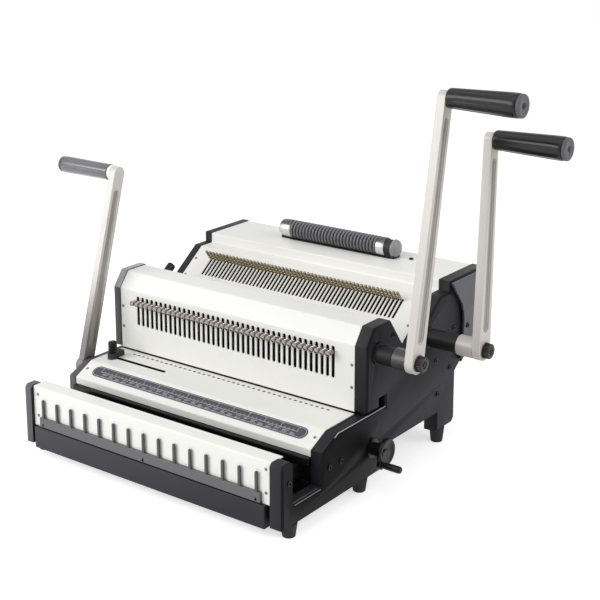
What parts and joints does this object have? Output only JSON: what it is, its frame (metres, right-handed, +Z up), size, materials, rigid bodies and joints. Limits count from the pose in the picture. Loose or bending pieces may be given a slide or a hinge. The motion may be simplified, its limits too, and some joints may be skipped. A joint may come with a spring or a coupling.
{
  "type": "wire binding machine",
  "caption": "Desk wire binding machine: lever-driven front and rear hole punches with rows of pull pins, and a lever-driven wire closer along the front.",
  "frame": {"origin": "on the ground under the middle of the overall box", "axes": "+X to the user's right along the punching width, +Y to the back, +Z up"},
  "size_m": [0.7232, 0.463, 0.5097],
  "materials": {
    "frame_black": "satin black powder coat",
    "cover_white": "warm white fine-texture paint",
    "tool_steel": "ground steel",
    "pin_steel": "bright steel pins",
    "pin_brass": "dull brass pins",
    "lever_silver": "satin cast aluminium",
    "grip_gloss": "glossy black fluted plastic",
    "cap_grey": "matt dark grey plastic",
    "bolt_black": "black oxide",
    "knob_black": "glossy black plastic",
    "guide_black": "matt black plastic",
    "handle_rubber": "ribbed black rubber",
    "foot_rubber": "matt black rubber",
    "tray_black": "matt black plastic",
    "label_black": "printed black film"
  },
  "bodies": {
    "base": {"left_side_frame": "frame_black", "right_side_frame": "frame_black", "right_side_cover": "frame_black", "raised_side_cover": "frame_black", "front_base_plate": "frame_black", "rear_base_plate": "frame_black", "closer_lower_bar": "frame_black", "closer_front_plate": "cover_white", "wire_rack": "frame_black", "table_plate": "cover_white", "closer_anvil": "frame_black", "scale_label": "label_black", "tower_cover": "cover_white", "rear_cover": "cover_white", "back_panel": "frame_black", "front_die_block": "tool_steel", "rear_die_block": "tool_steel", "upper_tie_bar": "tool_steel", "rear_tie_bar": "tool_steel", "front_tie_bar": "tool_steel", "front_lever_sleeve": "bolt_black", "rear_lever_sleeve": "bolt_black", "handle_grip": "handle_rubber", "handle_left_end": "knob_black", "handle_right_end": "knob_black", "foot_front_left": "foot_rubber", "foot_front_right": "foot_rubber", "foot_middle_left": "foot_rubber", "foot_middle_right": "foot_rubber", "foot_rear_left": "foot_rubber", "foot_rear_right": "foot_rubber"},
    "front_drive": {"front_lever_arm": "lever_silver", "front_lever_shaft": "tool_steel", "front_lever_grip": "grip_gloss", "front_lever_grip_cap": "cap_grey", "front_lever_bolt": "bolt_black"},
    "front_ram_body": {"front_ram": "tool_steel"},
    "front_pins": {"front_pull_pins": "pin_steel"},
    "rear_drive": {"rear_lever_arm": "lever_silver", "rear_lever_shaft": "tool_steel", "rear_lever_grip": "grip_gloss", "rear_lever_grip_cap": "cap_grey", "rear_lever_bolt": "bolt_black"},
    "rear_ram_body": {"rear_ram": "tool_steel"},
    "rear_pins": {"rear_pull_pins": "pin_brass"},
    "closer_drive": {"closer_lever_arm": "lever_silver", "closer_lever_shaft": "tool_steel", "closer_lever_grip": "grip_gloss", "closer_lever_grip_cap": "cap_grey", "closer_lever_bolt": "bolt_black"},
    "jaw": {"press_jaw": "tool_steel"},
    "adjuster": {"crank_knob": "knob_black", "crank_spindle": "tool_steel"},
    "adjuster_handle": {"crank_handle_pin": "knob_black"},
    "front_guide": {"front_edge_guide": "guide_black"},
    "front_clamp_knob": {"front_guide_knob": "knob_black"},
    "rear_guide": {"rear_edge_guide": "guide_black"},
    "rear_clamp_knob": {"rear_guide_knob": "knob_black"},
    "tray": {"chip_tray": "tray_black"}
  },
  "joints": [
    {"name": "front_lever", "type": "hinge", "parent": "base", "child": "front_drive", "pos_m": [0, -0.03695, 0.178], "axis": [1, 0, 0], "range_deg": [0, 90], "stiffness_Nm_per_rad": 1.2, "springref_deg": -28.65},
    {"name": "front_ram_slide", "type": "slide", "parent": "base", "child": "front_ram_body", "axis": [0, 0, -1], "range_m": [0, 0.01981]},
    {"name": "front_pins_pull", "type": "slide", "parent": "front_ram_body", "child": "front_pins", "axis": [0, -1, 0], "range_m": [0, 0.004]},
    {"name": "rear_lever", "type": "hinge", "parent": "base", "child": "rear_drive", "pos_m": [0, 0.08405, 0.1645], "axis": [1, 0, 0], "range_deg": [0, 90], "stiffness_Nm_per_rad": 1.2, "springref_deg": -28.65},
    {"name": "rear_ram_slide", "type": "slide", "parent": "base", "child": "rear_ram_body", "axis": [0, -0.7986, -0.6018], "range_m": [0, 0.01415]},
    {"name": "rear_pins_pull", "type": "slide", "parent": "rear_ram_body", "child": "rear_pins", "axis": [0, -0.6018, 0.7986], "range_m": [0, 0.004]},
    {"name": "closer_lever", "type": "hinge", "parent": "base", "child": "closer_drive", "pos_m": [0, -0.11295, 0.088], "axis": [1, 0, 0], "range_deg": [0, 60], "stiffness_Nm_per_rad": 0.8, "springref_deg": -28.65},
    {"name": "jaw_slide", "type": "slide", "parent": "base", "child": "jaw", "axis": [0, 1, 0], "range_m": [0, 0.03501]},
    {"name": "adjuster_turn", "type": "hinge", "parent": "base", "child": "adjuster", "pos_m": [0.18275, -0.04795, 0.0566], "axis": [1, 0, 0], "continuous": true},
    {"name": "adjuster_handle_spin", "type": "hinge", "parent": "adjuster", "child": "adjuster_handle", "pos_m": [0.21275, -0.06018, 0.04479], "axis": [1, 0, 0], "continuous": true},
    {"name": "front_guide_slide", "type": "slide", "parent": "base", "child": "front_guide", "axis": [1, 0, 0], "range_m": [0, 0.085]},
    {"name": "front_guide_knob_turn", "type": "hinge", "parent": "front_guide", "child": "front_clamp_knob", "pos_m": [-0.21695, -0.09695, 0.118], "axis": [0, 0, 1], "range_deg": [-180, 180]},
    {"name": "rear_guide_slide", "type": "slide", "parent": "base", "child": "rear_guide", "axis": [1, 0, 0], "range_m": [0, 0.085]},
    {"name": "rear_guide_knob_turn", "type": "hinge", "parent": "rear_guide", "child": "rear_clamp_knob", "pos_m": [-0.21695, 0.00917, 0.19083], "axis": [0, 0.7986, 0.6018], "range_deg": [-180, 180]},
    {"name": "tray_slide", "type": "slide", "parent": "base", "child": "tray", "axis": [0, 1, 0], "range_m": [0, 0.2]}
  ],
  "couplings": [
    {"joint": "front_ram_slide", "follows": "front_lever", "m_per_rad": 0.012605},
    {"joint": "rear_ram_slide", "follows": "rear_lever", "m_per_rad": 0.0090032},
    {"joint": "jaw_slide", "follows": "closer_lever", "m_per_rad": 0.033423}
  ]
}
